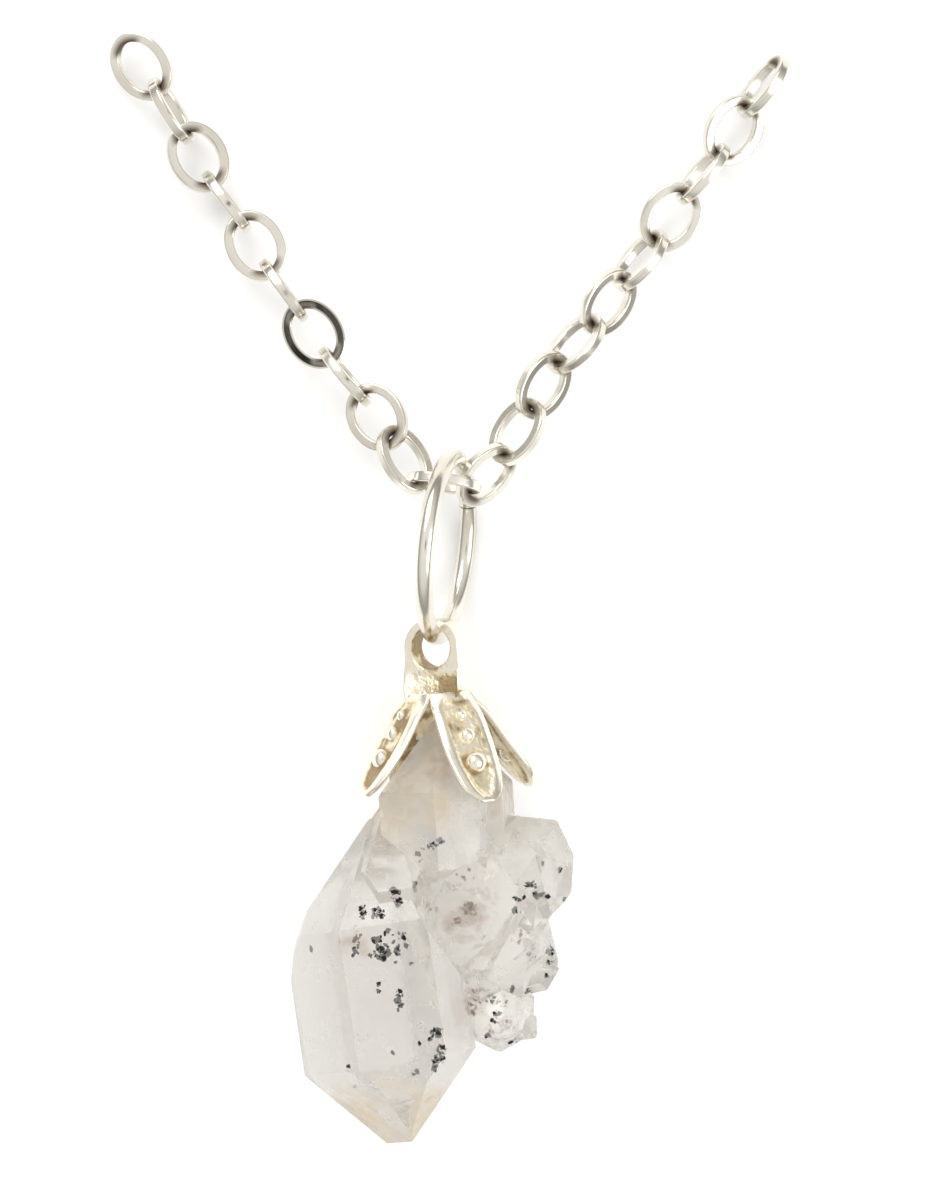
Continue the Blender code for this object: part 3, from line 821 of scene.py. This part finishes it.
reach = (LINK_LENGTH - LINK_BAND) / 2
half_width = (LINK_WIDTH - LINK_BAND) / 2
for name in link_names:
    link_bm = band_loop(reach, half_width, LINK_BAND, LINK_CORNER, LINK_STEPS)
    # painted shade on the inside of both ends, where the next link touches
    joint_shade_layer = link_bm.verts.layers.float.new("joint_shade")
    for vertex in link_bm.verts:
        inner = math.hypot(vertex.co.x / reach, vertex.co.y / half_width) < 1
        near_end = ease(abs(vertex.co.x), reach - SHADED_ENDS[0], reach - SHADED_ENDS[1])
        vertex[joint_shade_layer] = near_end if inner else 0.0
    bmesh.ops.transform(link_bm, matrix=principal_axes(name), verts=link_bm.verts)
    finish = silver if name == BRIGHT_LINK else worn_silver
    link = new_piece("smooth_" + name, link_bm, finish, crisp=10.0)
    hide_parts(name)
print("link length, mm:", LINK_LENGTH / MM, "points in a link:", len(link.data.vertices))

# %% [markdown]
# The jump ring
#
# A jump ring is round wire wound on a rod and sawn through, so it has a seam where its two flat ends
# meet. A circle of wire is spun almost all the way round, and the two open ends are filled. It leans in
# the eye of the cap as the photograph shows: its near side is to the left.

# %% Jump ring
RING_CENTRE = Vector((3.3, 23.65, 4.87)) * MM
RING_RADIUS = 4.5 * MM
RING_WIRE = 0.9 * MM
RING_LEAN = math.radians(13.0)
RING_TURN = math.radians(-6.0)
RING_SEAM_AT = math.radians(-60.0)
RING_SEAM = 0.06 * MM
RING_STANDS = Matrix(((0, 0, 1, 0), (1, 0, 0, 0), (0, 1, 0, 0), (0, 0, 0, 1)))

upright = Matrix.Rotation(math.radians(90), 3, "X")
ring_bm = bmesh.new()
bmesh.ops.create_circle(ring_bm, segments=28, radius=RING_WIRE / 2)
bmesh.ops.translate(ring_bm, verts=ring_bm.verts, vec=(RING_RADIUS, 0, 0))
bmesh.ops.rotate(ring_bm, verts=ring_bm.verts, matrix=upright, cent=(RING_RADIUS, 0, 0))
ring_gap = RING_SEAM / RING_RADIUS
bmesh.ops.spin(
    ring_bm, geom=ring_bm.verts[:] + ring_bm.edges[:], cent=(0, 0, 0), axis=(0, 0, 1),
    angle=math.tau - ring_gap, steps=150, use_merge=False,
)
bmesh.ops.holes_fill(ring_bm, edges=[edge for edge in ring_bm.edges if edge.is_boundary])
bmesh.ops.recalc_face_normals(ring_bm, faces=ring_bm.faces)
ring_place = (
    Matrix.Translation(RING_CENTRE)
    @ Matrix.Rotation(RING_TURN, 4, "Z")
    @ Matrix.Rotation(-RING_LEAN, 4, "Y")
    @ RING_STANDS
    @ Matrix.Rotation(RING_SEAM_AT + ring_gap / 2, 4, "Z")
)
bmesh.ops.transform(ring_bm, matrix=ring_place, verts=ring_bm.verts)
print("ring faces:", len(ring_bm.faces))
ring = new_piece("wire_ring", ring_bm, worn_silver, crisp=40.0)
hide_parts("jump_ring")

# %% [markdown]
# Where the cap sits
#
# The cap is modelled standing round its own axis, with the middle of its eye at the origin and the stone
# below, along negative Y. One matrix then turns it and puts it over the stub. The eye plate is turned a
# little further round that axis than the petals are, so that its right side shows.

# %% Place of the cap
EYE_CENTRE = Vector((2.8, 18.65, 4.9)) * MM
CAP_TURN = math.radians(4.0)
CAP_DIP = math.radians(1.5)
CAP_ROLL = math.radians(-17.0)
PLATE_ROLL = math.radians(-7.0)

cap_place = (
    Matrix.Translation(EYE_CENTRE)
    @ Matrix.Rotation(CAP_TURN, 4, "Z")
    @ Matrix.Rotation(CAP_DIP, 4, "X")
    @ Matrix.Rotation(CAP_ROLL, 4, "Y")
)
plate_place = cap_place @ Matrix.Rotation(PLATE_ROLL, 4, "Y")
print("eye at, mm:", [round(v / MM, 2) for v in plate_place.translation])

# %% [markdown]
# The outline of the eye plate
#
# The eye and the neck are one thick cast plate: an arch with a round hole, straight sides and a flared
# foot. The outline starts as a circle, and its lower half is pulled down and squared off. A second circle
# is the hole. The two are bridged, and the flat face is divided so that it can take a hollow later.

# %% Cap: outline of the eye plate
PLATE_RADIUS = 1.46 * MM
HOLE_RADIUS = 1.03 * MM
PLATE_FOOT = 2.95 * MM
PLATE_POINTS = 72


def plate_outline():
    """The arch with its hole, flat in the XY plane and facing up."""
    bm = bmesh.new()
    outline = bmesh.ops.create_circle(bm, segments=PLATE_POINTS, radius=PLATE_RADIUS)["verts"]
    for vertex in outline:
        if vertex.co.y < 0:
            side, low = vertex.co.x / PLATE_RADIUS, -vertex.co.y / PLATE_RADIUS
            vertex.co.x = PLATE_RADIUS * math.copysign(abs(side) ** 0.35, side)
            vertex.co.y = -PLATE_FOOT * low ** 0.6
    bmesh.ops.create_circle(bm, segments=PLATE_POINTS, radius=HOLE_RADIUS)
    spokes = bmesh.ops.bridge_loops(bm, edges=bm.edges[:])["edges"]
    bmesh.ops.subdivide_edges(bm, edges=spokes, cuts=7, use_grid_fill=True)
    bmesh.ops.recalc_face_normals(bm, faces=bm.faces)
    if bm.faces[:][0].normal.z < 0:
        bmesh.ops.reverse_faces(bm, faces=bm.faces)
    return bm


plate_bm = plate_outline()
print("faces of the flat plate:", len(plate_bm.faces))

# %% [markdown]
# The eye plate
#
# The flat face is extruded, and its two sides are set apart by the plate's depth, which grows towards the
# foot. A shallow rough hollow goes into the front under the hole. A bevel rounds the rims, as polishing
# does. The attribute called hollow is filled in: in the hole's wall, where it is painted shade, in the
# rough hollow, and most of all in a dark pit at the hollow's lower right, where dirt has gathered.

# %% Cap: eye plate
PLATE_DEPTH = (1.3 * MM, 2.3 * MM)
PLATE_RIM = 0.15 * MM
PLATE_FLARE = 0.12
STEEP_EDGE = math.radians(60)
HOLLOW_DEPTH = 0.1 * MM
DARK_PIT = (1.05 * MM, -2.1 * MM)
PIT_REACH = 0.85 * MM
PIT_DIRT = 2.6
# painted shade in the wall of the eye's hole
WALL_SHADE = 2.0


def rough_patch(point):
    """1 in the rough hollow under the hole, 0 elsewhere."""
    sides = ease(1.4 * MM - point.x, 0, 0.12 * MM) * ease(point.x + 1.35 * MM, 0, 0.5 * MM)
    return sides * ease(-point.y, 1.1 * MM, 1.35 * MM) * ease(PLATE_FOOT * 0.92 + point.y, 0, 0.2 * MM)


def plate_dirt_and_shade(point):
    """How dark a place on the plate is: 0 where the polishing cloth reaches, painted shade in the hole's
    wall, dirt most in the pit.
    """
    # painted shade in the wall of the hole
    wall = ease(HOLE_RADIUS + 0.1 * MM - math.hypot(point.x, point.y), 0, 0.08 * MM)
    from_pit = math.hypot(point.x - DARK_PIT[0], point.y - DARK_PIT[1])
    dirty = rough_patch(point) * (1 + PIT_DIRT * ease(PIT_REACH - from_pit, 0, 0.6 * MM))
    return max(dirty if point.z > 0 else 0.0, WALL_SHADE * wall)


extruded = bmesh.ops.extrude_face_region(plate_bm, geom=plate_bm.faces[:])["geom"]
front_points = {item for item in extruded if isinstance(item, bmesh.types.BMVert)}
bmesh.ops.translate(plate_bm, verts=list(front_points), vec=(0, 0, 1.0))
rims = [e for e in plate_bm.edges if len(e.link_faces) == 2 and e.calc_face_angle() > STEEP_EDGE]
for vertex in plate_bm.verts:
    down = ease(-vertex.co.y, 0.2 * MM, PLATE_FOOT)
    depth = PLATE_DEPTH[0] + (PLATE_DEPTH[1] - PLATE_DEPTH[0]) * down
    vertex.co.z = depth / 2 if vertex in front_points else -depth / 2
    if vertex in front_points:
        vertex.co.z -= HOLLOW_DEPTH * rough_patch(vertex.co)
bmesh.ops.bevel(
    plate_bm, geom=rims, offset=PLATE_RIM, segments=3, profile=0.5, affect="EDGES", material=-1,
    clamp_overlap=True,
)
plate_hollow = plate_bm.verts.layers.float.new("hollow")
for vertex in plate_bm.verts:
    vertex[plate_hollow] = plate_dirt_and_shade(vertex.co)
    vertex.co.x *= 1 + PLATE_FLARE * ease(-vertex.co.y, 0.2 * MM, PLATE_FOOT)
bmesh.ops.recalc_face_normals(plate_bm, faces=plate_bm.faces)
bmesh.ops.transform(plate_bm, matrix=plate_place, verts=plate_bm.verts)
plate = new_piece("cap_eye_plate", plate_bm, pale_gold, crisp=14.0)
print("plate faces:", len(plate.data.polygons))

# %% [markdown]
# The shape of a petal
#
# Each petal is a leaf: narrow at the neck, widest about its middle, and rounded at its tip. Two numbers
# name a place on it, a share across from -1 to 1 and a share along from 0 to 1. Smooth curves through a
# few measured values turn the share along into a radius, a drop and a half width, and the place is then
# on a ring round the cap's axis. A raised rim of even width follows the outline.

# %% Cap: shape of a petal
PETAL_COUNT = 4
FIRST_PETAL = math.radians(45.0)
# how far out and how far down each petal reaches, compared with the profile
PETAL_FIT = ((0.98, 1.06), (1.09, 0.97), (1.02, 1.0), (1.03, 0.93))
# radius and drop in mm from the neck to the tip, and the half width
PETAL_RADIUS = (1.35, 1.7, 2.15, 2.55, 3.05, 3.65, 4.2, 4.4)
PETAL_DROP = (2.2, 2.75, 3.3, 4.0, 4.9, 5.9, 6.9, 7.4)
PETAL_HALF_WIDTH = (1.1, 1.28, 1.38, 1.42, 1.42, 1.3, 0.95, 0.25)
PETAL_LENGTH = 5.4
RIM_WIDTH = 0.58
RIM_HEIGHT = 0.2


def smooth_between(values, share):
    """The value at a share from 0 to 1 along a list of numbers, on a smooth curve through them."""
    place = min(max(share, 0.0), 1.0) * (len(values) - 1)
    index = min(int(place), len(values) - 2)
    part = place - index
    before, low = values[max(index - 1, 0)], values[index]
    high, after = values[index + 1], values[min(index + 2, len(values) - 1)]
    slope_low, slope_high = (high - before) / 2, (after - low) / 2
    square, cube = part * part, part ** 3
    return (
        low * (2 * cube - 3 * square + 1) + high * (3 * square - 2 * cube)
        + slope_low * (cube - 2 * square + part) + slope_high * (cube - square)
    )


def petal_place(number, across, along):
    """A place on a petal's face and how far into the hollow it is, from 0 on the rim to 1."""
    outward, length = PETAL_FIT[number]
    radius = smooth_between(PETAL_RADIUS, along)
    half_width = smooth_between(PETAL_HALF_WIDTH, along)
    from_edge = min((1 - abs(across)) * half_width, (1 - along) * PETAL_LENGTH)
    hollow = ease(from_edge, 0.7 * RIM_WIDTH, 1.35 * RIM_WIDTH) * ease(along, 0.06, 0.2)
    turn = FIRST_PETAL + math.tau * number / PETAL_COUNT + across * half_width / radius
    radius = radius * (1 + (outward - 1) * along) + RIM_HEIGHT * (1 - hollow)
    down = PETAL_DROP[0] + (smooth_between(PETAL_DROP, along) - PETAL_DROP[0]) * length
    return Vector((radius * math.sin(turn), -down, radius * math.cos(turn))) * MM, hollow


print("tip of the first petal, mm:", [round(v / MM, 2) for v in petal_place(0, 0.0, 1.0)[0]])

# %% [markdown]
# The petals
#
# A petal is a grid whose points are moved onto the leaf. A Solidify modifier gives the wall and a
# Subdivision Surface rounds it. The attribute called hollow is filled in here too. Painted shade darkens
# the foot of the rim and a ring round each bead. Each petal has its own share of the whole, and the left
# petal's larger share is painted shade as well.

# %% Cap: petals
PETAL_COLUMNS = 22
PETAL_ROWS = 30
PETAL_WALL = 0.3 * MM
# each petal's share of the attribute; the left petal's larger share is painted shade
PETAL_DIRT_AND_SHADE = (1.0, 1.2, 1.2, 1.7)
# painted shade at the foot of the rim
RIM_CREASE_SHADE = 3.2
# painted shade in a ring round each bead
BEAD_SHADE = 0.6
# place along the petal and radius in mm
BEADS = ((0.3, 0.28), (0.48, 0.4), (0.67, 0.54))


def bead_ring_shade(number, place):
    """Painted shade in a ring round the beads of a petal, from 0 to 1."""
    grime = 0.0
    for along, radius in BEADS:
        bead, _ = petal_place(number, 0.0, along)
        grime = max(grime, ease(1.6 * radius * MM - (place - bead).length, 0, 0.4 * radius * MM))
    return grime


def petal_piece(number):
    """One petal. Its wall and its rounding are modifiers."""
    bm = bmesh.new()
    bmesh.ops.create_grid(bm, x_segments=PETAL_COLUMNS, y_segments=PETAL_ROWS, size=1.0)
    hollow_layer = bm.verts.layers.float.new("hollow")
    for vertex in bm.verts:
        across, along = vertex.co.x, (vertex.co.y + 1) / 2
        vertex.co, hollow = petal_place(number, across, along)
        # painted shade round the beads and at the rim's foot, scaled per petal
        near_beads = hollow * (1 + BEAD_SHADE * bead_ring_shade(number, vertex.co))
        vertex[hollow_layer] = PETAL_DIRT_AND_SHADE[number] * (near_beads + RIM_CREASE_SHADE * hollow * (1 - hollow))
    bmesh.ops.recalc_face_normals(bm, faces=bm.faces)
    middle, _ = petal_place(number, 0.0, 0.5)
    if bm.faces[:][0].normal.dot(Vector((middle.x, 0, middle.z))) < 0:
        bmesh.ops.reverse_faces(bm, faces=bm.faces)
    bmesh.ops.transform(bm, matrix=cap_place, verts=bm.verts)
    petal = new_piece(f"cap_petal_{number}", bm, pale_gold, crisp=180.0)
    wall = petal.modifiers.new("wall", "SOLIDIFY")
    wall.thickness = PETAL_WALL
    wall.offset = -1.0
    round_off = petal.modifiers.new("round_off", "SUBSURF")
    round_off.levels = 1
    round_off.render_levels = 1
    return petal


petals = [petal_piece(number) for number in range(PETAL_COUNT)]
print("petals:", [petal.name for petal in petals])

# %% [markdown]
# The beads
#
# Three cast beads stand in the hollow of each petal, larger towards the tip. Each is a ball, pressed a
# little flat against the petal, and the three of a petal are one piece. Then the solid cap is hidden.

# %% Cap: beads
BEAD_PRESS = 0.8


def bead_piece(number):
    """The three beads of one petal."""
    bm = bmesh.new()
    for along, radius in BEADS:
        place, _ = petal_place(number, 0.0, along)
        outward = Vector((place.x, 0, place.z)).normalized()
        turn = outward.to_track_quat("Z", "Y").to_matrix().to_4x4()
        bead = bmesh.ops.create_uvsphere(bm, u_segments=20, v_segments=12, radius=radius * MM)["verts"]
        flat = Matrix.Diagonal((1.0, 1.0, BEAD_PRESS, 1.0))
        bmesh.ops.transform(bm, matrix=Matrix.Translation(place) @ turn @ flat, verts=bead)
    bmesh.ops.transform(bm, matrix=cap_place, verts=bm.verts)
    return new_piece(f"cap_beads_{number}", bm, pale_gold, crisp=180.0)


beads = [bead_piece(number) for number in range(PETAL_COUNT)]
for cap_piece in [plate] + petals + beads:
    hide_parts("leaf_cap")
print("cap pieces:", 1 + len(petals) + len(beads))
